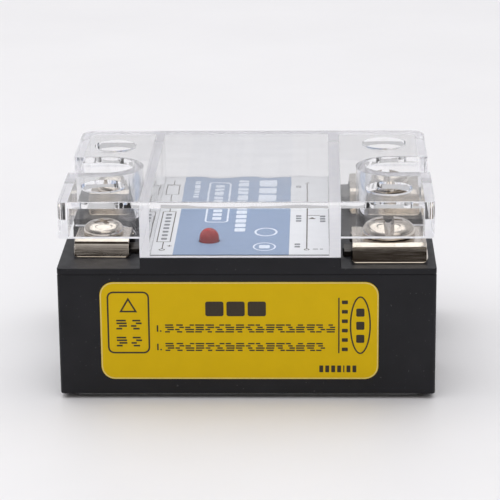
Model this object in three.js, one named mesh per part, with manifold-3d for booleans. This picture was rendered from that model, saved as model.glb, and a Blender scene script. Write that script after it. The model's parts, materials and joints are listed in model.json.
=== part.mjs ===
// A panel-mount solid state relay with a clear terminal cover.
//
// Millimetres, +Z up. The origin is at the middle of the relay's footprint, on the underside of its
// metal base plate. +X points to the output end, -X to the input end, and -Y to the labelled front.

import * as THREE from 'three';
import { mergeVertices } from 'three/addons/utils/BufferGeometryUtils.js';
import Module from 'manifold-3d';

const wasm = await Module();
wasm.setup();

// ---------------------------------------------------------------- driving dimensions

// Housing
const CASE_LENGTH = 60;
const CASE_WIDTH = 45;
const HOUSING_HEIGHT = 20.1;
const CASE_CORNER = 0.6;
const END_WALL = 2.6;
const SIDE_WALL = 2.0;
const PLATE_LEDGE = 0.5; // how much of each wall the base plate's recess takes
const RIB_LENGTH = 3.0; // a rib on the side wall that carries the circuit board
const RIB_DEPTH = 2.4;
const RIB_INSET = 2.0; // a rib's outer side to the circuit board's end

// Base plate
const PLATE_THICKNESS = 3.0;
const PLATE_PROUD = 0.8; // how far the plate stands below the housing's edge
const PLATE_CLEARANCE = 0.15;
const MOUNT_HOLE = 4.6;
const MOUNT_END_INSET = 6.2; // mounting hole centre to the case's end
const SLOT_STRETCH = 1.2; // the slotted hole is this much longer than wide
const SEAT_DEPTH = 0.2; // machined seat under each mounting screw's head
const SEAT_MARGIN = 0.25; // seat to the well's wall

// Mounting wells, open to the ends
const WELL_WIDTH = 9.65;
const WELL_WALL = 1.5;

// Lid
const LID_THICKNESS = 1.0;
const BLOCK_RISE = 1.7; // the raised block between the terminal bays
const BLOCK_ROOF = 1.4;
const BLOCK_WALL = 1.5;
const INPUT_BAY = 13.2; // bay lengths, from the case's end to the raised block
const OUTPUT_BAY = 15.1;
const RIM_DEPTH = 1.6; // rim under the lid that enters the housing
const RIM_WALL = 1.1;
const RIM_CLEARANCE = 0.15;
const SEAT_CLEARANCE = 0.15; // round the cover's collars and the contact strips' legs

// Clear cover
const COVER_RISE = 9.1; // raised block to the top of the cover
const COVER_TOP = 1.25;
const COVER_WALL = 1.5;
const COVER_END_INSET = 0.4;
const COVER_SIDE_INSET = 0.2;
const COVER_COLLAR = 1.4;
const COVER_FRONT_CORNER = 0.9;
const COVER_BACK_CORNER = 2.4;
const COVER_INNER_CORNER = 0.3;
const INPUT_DIVIDER = 1.55;
const OUTPUT_DIVIDER = 1.8;
const SKIRT_GAP = 4.9; // wire entry height, bay floor to the side skirts

// Terminals: one description for the input pair and one for the output pair. An output clamp fills
// its half of the bay, between the mounting well and a margin at the case's side.
const OUTPUT_WELL_GAP = 1.6;
const OUTPUT_SIDE_MARGIN = 2.4;
const INPUT = {
	side: -1,
	endInset: 6.8, // screw centre to the case's end
	wellGap: 1.85, // clamp to the mounting well's wall
	clampDepth: 8.8,
	clampLength: 8.75,
	clampThickness: 0.9,
	screwRadius: 1.5,
	headRadius: 3.2,
	headHeight: 2.0,
	nutWidth: 5.5,
	nutThickness: 2.4,
	accessRadius: 3.55,
	legWidth: 3.6,
	legInset: 0.6, // leg to the raised block
	slotted: false,
};
const OUTPUT = {
	side: 1,
	endInset: 7.4,
	wellGap: OUTPUT_WELL_GAP,
	clampDepth: CASE_WIDTH / 2 - OUTPUT_SIDE_MARGIN - OUTPUT_WELL_GAP - WELL_WALL - WELL_WIDTH / 2,
	clampLength: 11.75,
	clampThickness: 0.9,
	screwRadius: 2.0,
	headRadius: 4.25,
	headHeight: 2.6,
	nutWidth: 7.0,
	nutThickness: 3.2,
	accessRadius: 3.75,
	legWidth: 4.0,
	legInset: 0.6,
	slotted: true,
};
const CLAMP_HEIGHT = 3.0; // flange edge to the clamp's top
const CLAMP_LIFT_GAP = 0.1; // flange edge to the bay floor when tight
const CLAMP_BEND = 1.0;
const STRIP_THICKNESS = 0.8;
const STRIP_CLEARANCE = 0.3; // contact strip to the clamp's flanges
const STRIP_SHOULDER = 0.6; // under the clamp, where the strip narrows to its leg's width
const SCREW_CLEARANCE = 0.08; // running fit of a screw in its nut
const HOLE_CLEARANCE = 0.25; // screw through clamp, strip and boss
const SCREW_TIP = 1.6; // screw end past the nut
const RECESS_WIDTH = 0.95;
const RECESS_DEPTH = 1.2;
const RECESS_SHARE = 0.64; // cross arm's reach over the head's radius
const NUT_CLEARANCE = 0.1;
const NUT_DROP = 0.05;
const BOSS_WALL = 1.0;
const BOSS_FLOOR = 1.2;

// Labels and indicator
const LABEL_THICKNESS = 0.12;
const SIDE_LABEL_LENGTH = 44.2;
const SIDE_LABEL_HEIGHT = 16.3;
const SIDE_LABEL_OFFSET = -1.2; // label centre along the front
const SIDE_LABEL_DROP = 1.2; // label's upper edge below the seam
const SIDE_LABEL_CORNER = 2.2;
const FACE_LABEL_MARGIN = 0.2; // face label to the cover's walls
const LED_RADIUS = 1.6;
const LED_FLANGE = 0.35;
const LED_FLANGE_HEIGHT = 1.0;
const LED_RISE = 2.2; // dome above the raised block
const LED_BODY = 5.6;
const LED_CLEARANCE = 0.12;
const LED_FROM_BLOCK_END = 10.6; // from the raised block's input end
const LED_FROM_FRONT = 9.7;
const LED_LEAD = 0.5;
const LED_LEAD_PITCH = 1.27;

// Power stage on the base plate
const SUBSTRATE_LENGTH = 24;
const SUBSTRATE_MARGIN = 0.5; // substrate to the housing's ribs
const SUBSTRATE_THICKNESS = 0.64;
const SUBSTRATE_OVERHANG = 0.8; // substrate past the output legs
const TRACK_THICKNESS = 0.3;
const TRACK_MARGIN = 0.6;
const TRACK_GAP = 2.0;
const DIE_SIZE = 7.0;
const DIE_THICKNESS = 0.5;
const DIE_FROM_END = 5.0; // die to the substrate's input end
const DIE_FROM_GAP = 3.4; // die to the gap between the tracks
const CLIP_WIDTH = 2.2;
const CLIP_THICKNESS = 0.3;
const CLIP_RISE = 0.9; // jumper above the die
const GATE_LEAD = 0.8;
const GATE_LEAD_PROUD = 0.6;

// Potting compound
const POTTING_CLEARANCE = 0.3;
const POTTING_AIR = 3.0; // compound to the circuit board
const GEL_HEIGHT = 2.6; // soft pocket over the power stage

// Circuit board
const BOARD_THICKNESS = 1.6;
const BOARD_DEPTH = 6.3; // board's top below the seam
const BOARD_CLEARANCE = 0.5;
const INPUT_LEG_PROUD = 1.0; // input legs past the board's underside

// Components on the circuit board. fromOutput runs back from the board's output end, and fromInput
// runs in from the raised block's input end.
const OPTOCOUPLER = { fromOutput: 15, y: 3, length: 6.4, width: 8.8, height: 3.6 };
const SNUBBER_CAPACITOR = { fromOutput: 8, y: -6, length: 4.5, width: 10, height: 6.0 };
const SNUBBER_RESISTOR = { fromOutput: 6, y: 6, radius: 1.6, length: 8, leadSpan: 12 };
const INPUT_RESISTOR = { fromInput: 1.6, y: -5.5, radius: 1.2, length: 6.3, leadSpan: 10 };
const INPUT_DIODE = { fromInput: 1.6, y: 5, radius: 0.95, length: 4, leadSpan: 8 };
const OUTER_TRANSISTOR = { fromInput: 1.6, y: 12.2 };
const INNER_TRANSISTOR = { fromInput: 9.8, y: 10 };
const TRANSISTOR_RADIUS = 2.3;
const TRANSISTOR_HEIGHT = 4.6;
const TRANSISTOR_FLAT = 1.3; // centre to the flat face
const COMPONENT_LEAD = 0.6;

// ---------------------------------------------------------------- levels and places

const plateTop = PLATE_THICKNESS;
const caseBottom = PLATE_PROUD;
const seam = caseBottom + HOUSING_HEIGHT;
const bayFloor = seam + LID_THICKNESS;
const blockTop = bayFloor + BLOCK_RISE;
const coverTop = blockTop + COVER_RISE;
const coverUnderside = coverTop - COVER_TOP;
const skirtEdge = bayFloor + SKIRT_GAP;
const clampTop = bayFloor + CLAMP_LIFT_GAP + CLAMP_HEIGHT;
const boardTop = seam - BOARD_DEPTH;
const boardBottom = boardTop - BOARD_THICKNESS;
const pottingTop = boardBottom - POTTING_AIR;

const halfLength = CASE_LENGTH / 2;
const halfWidth = CASE_WIDTH / 2;
const cavityX = halfLength - END_WALL;
const cavityY = halfWidth - SIDE_WALL;
const recessX = cavityX + PLATE_LEDGE;
const recessY = cavityY + PLATE_LEDGE;
const mountX = halfLength - MOUNT_END_INSET;
const wellRadius = WELL_WIDTH / 2;
const wellOuter = wellRadius + WELL_WALL;
const collarOuter = wellRadius + COVER_COLLAR;
const blockStart = -halfLength + INPUT_BAY;
const blockEnd = halfLength - OUTPUT_BAY;
const coverX = halfLength - COVER_END_INSET;
const coverY = halfWidth - COVER_SIDE_INSET;
const coverInnerY = coverY - COVER_WALL;
const ledX = blockStart + LED_FROM_BLOCK_END;
const ledY = -halfWidth + LED_FROM_FRONT;

const OVERCUT = 2; // how far a cutting tool runs past what it cuts
const ROUND_FACETS = 24;
const SMALL_ROUND_FACETS = 16;
const CORNER_FACETS = 4;
const WELL_FACETS = 14;

// A terminal's places, worked out from its pair's description. row is -1 at the front, 1 at the back.
function terminalPlace(kind, row) {
	const near = wellOuter + kind.wellGap;
	const blockFace = kind.side < 0 ? -blockStart : blockEnd;
	const legInner = blockFace + kind.legInset;
	const centreX = halfLength - kind.endInset;
	const pocket = kind.nutWidth / 2 + NUT_CLEARANCE;
	return {
		x: kind.side * centreX,
		centreX,
		y: row * (near + kind.clampDepth / 2),
		stripHalf: kind.clampDepth / 2 - kind.clampThickness - STRIP_CLEARANCE,
		legInner,
		legOuter: legInner + STRIP_THICKNESS,
		stripEnd: centreX + kind.clampLength / 2 - kind.clampThickness,
		pocket,
		nutTop: bayFloor - NUT_DROP,
		nutBottom: bayFloor - NUT_DROP - kind.nutThickness,
	};
}

const TERMINALS = [
	{ name: 'input_front', kind: INPUT, row: -1 },
	{ name: 'input_back', kind: INPUT, row: 1 },
	{ name: 'output_front', kind: OUTPUT, row: -1 },
	{ name: 'output_back', kind: OUTPUT, row: 1 },
].map((terminal) => ({ ...terminal, place: terminalPlace(terminal.kind, terminal.row) }));

const ENDS = [-1, 1]; // input, output
const ROWS = [-1, 1]; // front, back
const TRACKS = [
	{ name: 'front', row: -1 },
	{ name: 'back', row: 1 },
];
const outputPlace = terminalPlace(OUTPUT, 1);
const substrateEnd = outputPlace.legOuter + SUBSTRATE_OVERHANG;
const substrateStart = substrateEnd - SUBSTRATE_LENGTH;
const substrateTop = plateTop + SUBSTRATE_THICKNESS;
const trackTop = substrateTop + TRACK_THICKNESS;
const dieTop = trackTop + DIE_THICKNESS;
const dieX = substrateStart + DIE_FROM_END + DIE_SIZE / 2;
const dieY = TRACK_GAP / 2 + DIE_FROM_GAP + DIE_SIZE / 2;
const gateX = dieX - DIE_SIZE / 2 + GATE_LEAD;
const substrateY = cavityY - RIB_DEPTH - SUBSTRATE_MARGIN;
const boardStart = -cavityX + BOARD_CLEARANCE;
const boardEnd = outputPlace.legInner - BOARD_CLEARANCE;

// ---------------------------------------------------------------- solid helpers

function solidOf(geometry) {
	const bare = geometry.clone();
	bare.deleteAttribute('normal');
	bare.deleteAttribute('uv');
	const merged = mergeVertices(bare, 1e-4);
	return new wasm.Manifold(new wasm.Mesh({
		numProp: 3,
		vertProperties: new Float32Array(merged.attributes.position.array),
		triVerts: new Uint32Array(merged.index.array),
	}));
}

function geometryOf(solid) {
	const mesh = solid.getMesh();
	const geometry = new THREE.BufferGeometry();
	geometry.setAttribute('position', new THREE.BufferAttribute(new Float32Array(mesh.vertProperties), 3));
	geometry.setIndex(new THREE.BufferAttribute(new Uint32Array(mesh.triVerts), 1));
	const flat = geometry.toNonIndexed();
	flat.computeVertexNormals();
	return flat;
}

function join(solids) {
	return solids.reduce((whole, piece) => whole.add(piece));
}

function cut(body, tools) {
	return tools.reduce((left, tool) => left.subtract(tool), body);
}

// An axis-aligned block between two corners.
function block(x0, y0, z0, x1, y1, z1) {
	const geometry = new THREE.BoxGeometry(Math.abs(x1 - x0), y1 - y0, z1 - z0);
	geometry.translate((x0 + x1) / 2, (y0 + y1) / 2, (z0 + z1) / 2);
	return solidOf(geometry);
}

// An upright prism of a shape drawn in the XY plane.
function prism(shape, z0, z1, curveSegments = CORNER_FACETS) {
	const geometry = new THREE.ExtrudeGeometry(shape, { depth: z1 - z0, bevelEnabled: false, curveSegments });
	geometry.translate(0, 0, z0);
	return solidOf(geometry);
}

// An upright rod, centred at x, y.
function rod(radius, x, y, z0, z1, segments = ROUND_FACETS) {
	const geometry = new THREE.CylinderGeometry(radius, radius, z1 - z0, segments);
	geometry.rotateX(Math.PI / 2);
	geometry.translate(x, y, (z0 + z1) / 2);
	return solidOf(geometry);
}

// A turned solid about an upright axis at x, y. The profile runs from the axis at the bottom
// to the axis at the top.
function turned(profile, x, y, segments = ROUND_FACETS) {
	const geometry = new THREE.LatheGeometry(profile, segments);
	geometry.rotateX(Math.PI / 2);
	geometry.translate(x, y, 0);
	return solidOf(geometry);
}

// A rectangle with its own corner radius at the front and at the back.
function roundedRectangle(x0, y0, x1, y1, frontCorner, backCorner) {
	const shape = new THREE.Shape();
	shape.moveTo(x0 + frontCorner, y0);
	shape.lineTo(x1 - frontCorner, y0);
	shape.absarc(x1 - frontCorner, y0 + frontCorner, frontCorner, -Math.PI / 2, 0);
	shape.lineTo(x1, y1 - backCorner);
	shape.absarc(x1 - backCorner, y1 - backCorner, backCorner, 0, Math.PI / 2);
	shape.lineTo(x0 + backCorner, y1);
	shape.absarc(x0 + backCorner, y1 - backCorner, backCorner, Math.PI / 2, Math.PI);
	shape.lineTo(x0, y0 + frontCorner);
	shape.absarc(x0 + frontCorner, y0 + frontCorner, frontCorner, Math.PI, 1.5 * Math.PI);
	return shape;
}

// A slot with one round end at the mounting centre, running out through the case's end.
function endSlot(side, radius, z0, z1, reach = halfLength + OVERCUT) {
	const centre = mountX;
	const shape = new THREE.Shape();
	shape.moveTo(centre, -radius);
	shape.lineTo(reach, -radius);
	shape.lineTo(reach, radius);
	shape.lineTo(centre, radius);
	shape.absarc(centre, 0, radius, Math.PI / 2, 1.5 * Math.PI);
	const solid = prism(shape, z0, z1, WELL_FACETS);
	return side > 0 ? solid : solid.mirror([1, 0, 0]);
}

// ---------------------------------------------------------------- finishes

function finish(color, roughness, metalness) {
	return new THREE.MeshStandardMaterial({ color, roughness, metalness });
}

const BLACK_PLASTIC = finish(0x2b2b2f, 0.45, 0);
const CLEAR_PLASTIC = finish(0xe9eaf2, 0.08, 0);
const NICKELLED_STEEL = finish(0xcfc6b8, 0.22, 1);
const BRASS = finish(0xc9a455, 0.3, 1);
const COPPER = finish(0xc27a4f, 0.3, 1);
const ALUMINIUM = finish(0xc3c5c8, 0.4, 1);
const YELLOW_FILM = finish(0xd2a800, 0.4, 0);
const BLUE_FILM = finish(0x93abd0, 0.4, 0);
const RED_LENS = finish(0xa33a3c, 0.15, 0);
const CERAMIC = finish(0xf0eee8, 0.6, 0);
const SILICON = finish(0x4a4d56, 0.25, 0.4);
const EPOXY = finish(0x1d1f24, 0.6, 0);
const GREEN_BOARD = finish(0x2f6b45, 0.5, 0);
const CHIP_BLACK = finish(0x202022, 0.5, 0);
const CAPACITOR_RED = finish(0x9c3322, 0.45, 0);
const RESISTOR_BLUE = finish(0x5f8fb5, 0.4, 0);
const DIODE_GLASS = finish(0x8a3a24, 0.2, 0);

const relay = new THREE.Group();
relay.name = 'solid_state_relay';

function place(name, solid, material) {
	const mesh = new THREE.Mesh(geometryOf(solid), material.clone());
	mesh.name = name;
	relay.add(mesh);
}

// ---------------------------------------------------------------- housing, base plate and lid

// The plate carries the heat to whatever the relay is screwed to. One end has a round hole and
// the other a slot open to the end, so the second screw can already be in place.
function basePlate() {
	const x = recessX - PLATE_CLEARANCE;
	const y = recessY - PLATE_CLEARANCE;
	const radius = MOUNT_HOLE / 2;
	const outline = roundedRectangle(-x, -y, x, y, CASE_CORNER, CASE_CORNER);
	const plate = prism(outline, 0, PLATE_THICKNESS);
	const hole = rod(radius, -mountX, 0, -OVERCUT, PLATE_THICKNESS + OVERCUT);
	const slotStart = rod(radius, mountX - SLOT_STRETCH, 0, -OVERCUT, PLATE_THICKNESS + OVERCUT);
	const slotRun = block(mountX - SLOT_STRETCH, -radius, -OVERCUT, halfLength + OVERCUT, radius,
		PLATE_THICKNESS + OVERCUT);
	const seats = ENDS.map((side) => endSlot(side, wellRadius - SEAT_MARGIN, plateTop - SEAT_DEPTH,
		plateTop + OVERCUT));
	return cut(plate, [hole, slotStart, slotRun, ...seats]);
}

// An open-bottomed box with a walled mounting well at each end and ribs for the circuit board.
function housing() {
	const outline = roundedRectangle(-halfLength, -halfWidth, halfLength, halfWidth, CASE_CORNER, CASE_CORNER);
	const shell = cut(prism(outline, caseBottom, seam), [
		block(-cavityX, -cavityY, caseBottom - OVERCUT, cavityX, cavityY, seam + OVERCUT),
		block(-recessX, -recessY, caseBottom - OVERCUT, recessX, recessY, plateTop),
	]);
	const wellWalls = ENDS.map((side) => endSlot(side, wellOuter, plateTop, seam, cavityX + END_WALL / 2));
	const ribs = ribBoxes(plateTop, boardBottom, 0).map((box) => block(...box));
	const wells = ENDS.map((side) => endSlot(side, wellRadius, caseBottom - OVERCUT, seam + OVERCUT));
	return cut(join([shell, ...wellWalls, ...ribs]), wells);
}

// The four ribs under the circuit board's corners, grown all round by a margin.
function ribBoxes(z0, z1, margin) {
	const boxes = [];
	for (const start of [boardStart + RIB_INSET, boardEnd - RIB_INSET - RIB_LENGTH]) {
		for (const row of ROWS) {
			const inner = row * (cavityY - RIB_DEPTH - margin);
			const outer = row * (cavityY + SIDE_WALL / 2);
			boxes.push([start - margin, Math.min(inner, outer), z0, start + RIB_LENGTH + margin,
				Math.max(inner, outer), z1]);
		}
	}
	return boxes;
}

// The lid closes the housing: a raised block in the middle, a terminal bay at each end, a boss
// with a nut pocket under each terminal, and wide notches that take the cover's collars.
function housingLid() {
	const outline = roundedRectangle(-halfLength, -halfWidth, halfLength, halfWidth, CASE_CORNER, CASE_CORNER);
	const deck = prism(outline, seam, bayFloor);
	const raised = block(blockStart, -halfWidth, seam, blockEnd, halfWidth, blockTop);
	const rim = ringUnderBlock();
	const bosses = TERMINALS.map((terminal) => nutBoss(terminal));
	const hollow = block(blockStart + BLOCK_WALL, -halfWidth + BLOCK_WALL, seam - OVERCUT,
		blockEnd - BLOCK_WALL, halfWidth - BLOCK_WALL, blockTop - BLOCK_ROOF);
	const collarNotches = ENDS.map((side) => endSlot(side, collarOuter + SEAT_CLEARANCE, seam - OVERCUT,
		blockTop + OVERCUT));
	const ledHole = rod(LED_RADIUS + LED_CLEARANCE, ledX, ledY, seam, blockTop + OVERCUT);
	const terminalCuts = TERMINALS.flatMap((terminal) => lidTerminalCuts(terminal));
	const lid = cut(join([deck, raised, ...bosses]), [hollow]).add(rim);
	return cut(lid, [...collarNotches, ledHole, ...terminalCuts]);
}

// Two bars under the raised block that enter the housing and keep the lid in place.
function ringUnderBlock() {
	const outer = cavityY - RIM_CLEARANCE;
	const bars = ROWS.map((row) => {
		const a = row * outer;
		const b = row * (outer - RIM_WALL);
		return block(blockStart + BLOCK_WALL, Math.min(a, b), seam - RIM_DEPTH, blockEnd - BLOCK_WALL,
			Math.max(a, b), bayFloor);
	});
	return join(bars);
}

function nutBoss({ place: at }) {
	const half = at.pocket + BOSS_WALL;
	return block(at.x - half, at.y - half, at.nutBottom - BOSS_FLOOR, at.x + half, at.y + half, bayFloor);
}

function lidTerminalCuts({ kind, place: at }) {
	const half = at.pocket;
	const pocket = block(at.x - half, at.y - half, at.nutBottom, at.x + half, at.y + half, bayFloor + OVERCUT);
	const tipHole = rod(kind.screwRadius + HOLE_CLEARANCE, at.x, at.y, at.nutBottom - BOSS_FLOOR - OVERCUT,
		at.nutBottom + OVERCUT);
	const legHalf = kind.legWidth / 2 + SEAT_CLEARANCE;
	const inner = kind.side * (at.legInner - SEAT_CLEARANCE);
	const outer = kind.side * (at.legOuter + SEAT_CLEARANCE);
	const legSlot = block(Math.min(inner, outer), at.y - legHalf, seam - OVERCUT, Math.max(inner, outer),
		at.y + legHalf, bayFloor + OVERCUT);
	return [pocket, tipHole, legSlot];
}

// ---------------------------------------------------------------- clear cover

// The cover's outline seen from above, brought in all round by an inset.
function coverOutline(inset) {
	const x = coverX - inset;
	const y = coverY - inset;
	const front = Math.max(COVER_FRONT_CORNER - inset, COVER_INNER_CORNER);
	const back = Math.max(COVER_BACK_CORNER - inset, COVER_INNER_CORNER);
	return roundedRectangle(-x, -y, x, y, front, back);
}

// Three chambers under one flat top. The middle one stands on the raised block, the side skirts
// stop short of the bays for the wires, and the collars round the wells stand on the housing.
function clearCover() {
	const outside = prism(coverOutline(0), blockTop, coverTop);
	const inside = prism(coverOutline(COVER_WALL), blockTop - OVERCUT, coverUnderside);
	const underSkirts = [
		block(-halfLength - OVERCUT, -halfWidth, blockTop - OVERCUT, blockStart, halfWidth, skirtEdge),
		block(blockEnd, -halfWidth, blockTop - OVERCUT, halfLength + OVERCUT, halfWidth, skirtEdge),
	];
	const shell = cut(outside, [inside, ...underSkirts]);
	const dividers = [
		block(blockStart, -coverInnerY - COVER_WALL / 2, blockTop, blockStart + INPUT_DIVIDER,
			coverInnerY + COVER_WALL / 2, coverUnderside + COVER_TOP / 2),
		block(blockEnd - OUTPUT_DIVIDER, -coverInnerY - COVER_WALL / 2, blockTop, blockEnd,
			coverInnerY + COVER_WALL / 2, coverUnderside + COVER_TOP / 2),
	];
	const intoTop = coverUnderside + COVER_TOP / 2;
	const collars = ENDS.map((side) => endSlot(side, collarOuter, seam, intoTop, coverX));
	const wells = ENDS.map((side) => endSlot(side, wellRadius, seam - OVERCUT, coverTop + OVERCUT));
	const accessHoles = TERMINALS.map(({ kind, place: at }) =>
		rod(kind.accessRadius, at.x, at.y, coverUnderside - OVERCUT / 4, coverTop + OVERCUT));
	return cut(join([shell, ...dividers, ...collars]), [...wells, ...accessHoles]);
}

// ---------------------------------------------------------------- terminals

// The L-shaped strip that a wire is pressed onto. Its leg runs down inside the housing.
function contactStrip({ kind, place: at }, legBottom) {
	const side = kind.side;
	const inner = side * at.legInner;
	const outer = side * at.legOuter;
	const end = side * at.stripEnd;
	const shoulder = side * (at.centreX - kind.clampLength / 2 + STRIP_SHOULDER);
	const top = bayFloor + STRIP_THICKNESS;
	const pad = block(Math.min(shoulder, end), at.y - at.stripHalf, bayFloor, Math.max(shoulder, end),
		at.y + at.stripHalf, top);
	const neckEnd = shoulder + side;
	const neck = block(Math.min(inner, neckEnd), at.y - kind.legWidth / 2, bayFloor, Math.max(inner, neckEnd),
		at.y + kind.legWidth / 2, top);
	const leg = block(Math.min(inner, outer), at.y - kind.legWidth / 2, legBottom, Math.max(inner, outer),
		at.y + kind.legWidth / 2, bayFloor + STRIP_THICKNESS / 2);
	const hole = rod(kind.screwRadius + HOLE_CLEARANCE, at.x, at.y, bayFloor - OVERCUT, bayFloor + OVERCUT);
	return cut(join([pad, neck, leg]), [hole]);
}

// The bridge-shaped clamp: a flat top with a flange bent down at the front and at the back.
function clampPlate({ kind, place: at }) {
	const half = kind.clampDepth / 2;
	const t = kind.clampThickness;
	const inside = CLAMP_BEND - t;
	const foot = -CLAMP_HEIGHT;
	const shape = new THREE.Shape();
	shape.moveTo(half, foot);
	shape.lineTo(half, -CLAMP_BEND);
	shape.absarc(half - CLAMP_BEND, -CLAMP_BEND, CLAMP_BEND, 0, Math.PI / 2);
	shape.lineTo(-half + CLAMP_BEND, 0);
	shape.absarc(-half + CLAMP_BEND, -CLAMP_BEND, CLAMP_BEND, Math.PI / 2, Math.PI);
	shape.lineTo(-half, foot);
	shape.lineTo(-half + t, foot);
	shape.lineTo(-half + t, -CLAMP_BEND);
	shape.absarc(-half + CLAMP_BEND, -CLAMP_BEND, inside, Math.PI, Math.PI / 2, true);
	shape.lineTo(half - CLAMP_BEND, -t);
	shape.absarc(half - CLAMP_BEND, -CLAMP_BEND, inside, Math.PI / 2, 0, true);
	shape.lineTo(half - t, foot);
	const geometry = new THREE.ExtrudeGeometry(shape, {
		depth: kind.clampLength, bevelEnabled: false, curveSegments: CORNER_FACETS,
	});
	geometry.translate(0, 0, -kind.clampLength / 2);
	geometry.rotateX(Math.PI / 2);
	geometry.rotateZ(Math.PI / 2);
	geometry.translate(at.x, at.y, clampTop);
	const hole = rod(kind.screwRadius + HOLE_CLEARANCE, at.x, at.y, clampTop - OVERCUT, clampTop + OVERCUT);
	return cut(solidOf(geometry), [hole]);
}

// A pan-head screw with a cross recess. The output screws also have a slot across the head.
function terminalScrew({ kind, place: at }) {
	const tip = at.nutBottom - SCREW_TIP;
	const r = kind.headRadius;
	const h = kind.headHeight;
	const profile = new THREE.Path();
	profile.moveTo(0, tip);
	profile.lineTo(kind.screwRadius * 0.75, tip);
	profile.lineTo(kind.screwRadius, tip + kind.screwRadius * 0.4);
	profile.lineTo(kind.screwRadius, clampTop);
	profile.lineTo(r * 0.94, clampTop);
	profile.lineTo(r, clampTop + h * 0.12);
	profile.lineTo(r, clampTop + h * 0.3);
	profile.bezierCurveTo(r, clampTop + h * 0.72, r * 0.8, clampTop + h * 0.95, r * 0.42, clampTop + h);
	profile.lineTo(0, clampTop + h);
	const screw = turned(profile.getPoints(4), at.x, at.y);
	const half = RECESS_WIDTH / 2;
	const reach = r * RECESS_SHARE;
	const top = clampTop + h;
	const floor = top - RECESS_DEPTH;
	const alongX = block(at.x - reach, at.y - half, floor, at.x + reach, at.y + half, top + OVERCUT);
	const slotReach = kind.slotted ? r + OVERCUT : reach;
	const alongY = block(at.x - half, at.y - slotReach, floor, at.x + half, at.y + slotReach, top + OVERCUT);
	return cut(screw, [alongX, alongY]);
}

function squareNut({ kind, place: at }) {
	const half = kind.nutWidth / 2;
	const nut = block(at.x - half, at.y - half, at.nutBottom, at.x + half, at.y + half, at.nutTop);
	const boreRadius = kind.screwRadius + SCREW_CLEARANCE;
	const bore = rod(boreRadius, at.x, at.y, at.nutBottom - OVERCUT, at.nutTop + OVERCUT);
	return cut(nut, [bore]);
}

// ---------------------------------------------------------------- labels and indicator

function sideLabel() {
	const half = SIDE_LABEL_LENGTH / 2;
	const r = SIDE_LABEL_CORNER;
	const top = seam - SIDE_LABEL_DROP;
	const shape = roundedRectangle(SIDE_LABEL_OFFSET - half, top - SIDE_LABEL_HEIGHT, SIDE_LABEL_OFFSET + half,
		top, r, r);
	const geometry = new THREE.ExtrudeGeometry(shape, {
		depth: LABEL_THICKNESS, bevelEnabled: false, curveSegments: CORNER_FACETS,
	});
	geometry.rotateX(Math.PI / 2);
	geometry.translate(0, -halfWidth, 0);
	return solidOf(geometry);
}

function faceLabel() {
	const x0 = blockStart + INPUT_DIVIDER + FACE_LABEL_MARGIN;
	const x1 = blockEnd - OUTPUT_DIVIDER - FACE_LABEL_MARGIN;
	const y = coverInnerY - FACE_LABEL_MARGIN;
	const sheet = block(x0, -y, blockTop, x1, y, blockTop + LABEL_THICKNESS);
	const hole = rod(LED_RADIUS + LED_CLEARANCE, ledX, ledY, blockTop - OVERCUT, blockTop + OVERCUT);
	return cut(sheet, [hole]);
}

const ledTop = blockTop + LED_RISE;
const ledBottom = ledTop - LED_BODY;

function ledLens() {
	const profile = new THREE.Path();
	const flange = LED_RADIUS + LED_FLANGE;
	profile.moveTo(0, ledBottom);
	profile.lineTo(flange, ledBottom);
	profile.lineTo(flange, ledBottom + LED_FLANGE_HEIGHT);
	profile.lineTo(LED_RADIUS, ledBottom + LED_FLANGE_HEIGHT);
	profile.lineTo(LED_RADIUS, ledTop - LED_RADIUS);
	profile.absarc(0, ledTop - LED_RADIUS, LED_RADIUS, 0, Math.PI / 2);
	return turned(profile.getPoints(5), ledX, ledY, ROUND_FACETS);
}

function ledLead(side) {
	const x = ledX + side * LED_LEAD_PITCH / 2;
	const half = LED_LEAD / 2;
	return block(x - half, ledY - half, boardTop, x + half, ledY + half, ledBottom);
}

// ---------------------------------------------------------------- power stage

function ceramicSubstrate() {
	const tile = block(substrateStart, -substrateY, plateTop, substrateEnd, substrateY, substrateTop);
	return cut(tile, [endSlot(1, wellOuter + POTTING_CLEARANCE, plateTop - OVERCUT, substrateTop + OVERCUT)]);
}

function copperTrack(row) {
	const near = row * TRACK_GAP / 2;
	const far = row * (substrateY - TRACK_MARGIN);
	return block(substrateStart + TRACK_MARGIN, Math.min(near, far), substrateTop, substrateEnd - TRACK_MARGIN,
		Math.max(near, far), trackTop);
}

function thyristor(row) {
	const half = DIE_SIZE / 2;
	return block(dieX - half, row * dieY - half, trackTop, dieX + half, row * dieY + half, dieTop);
}

// A jumper from the top of one die, over the gap, down to the other die's track.
function copperClip(row) {
	const lane = dieX + row * (CLIP_WIDTH / 2 + CLIP_THICKNESS);
	const x0 = lane - CLIP_WIDTH / 2;
	const x1 = lane + CLIP_WIDTH / 2;
	const t = CLIP_THICKNESS;
	const bridgeTop = dieTop + CLIP_RISE;
	const onDie = dieY;
	const offDie = dieY - DIE_SIZE / 2;
	const landing = -(TRACK_GAP / 2 + DIE_FROM_GAP / 2);
	const pieces = [
		[offDie - t, onDie + t, dieTop, dieTop + t],
		[offDie - t, offDie, dieTop, bridgeTop],
		[landing - t / 2, offDie, bridgeTop - t, bridgeTop],
		[landing - t / 2, landing + t / 2, trackTop, bridgeTop],
		[landing - t, landing + t, trackTop, trackTop + t],
	];
	return join(pieces.map(([y0, y1, z0, z1]) => {
		const a = row * y0;
		const b = row * y1;
		return block(x0, Math.min(a, b), z0, x1, Math.max(a, b), z1);
	}));
}

function gateLead(row) {
	const half = GATE_LEAD / 2;
	const y = row * (dieY + DIE_SIZE / 2 - GATE_LEAD);
	return block(gateX - half, y - half, dieTop, gateX + half, y + half, boardTop + GATE_LEAD_PROUD);
}

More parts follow.
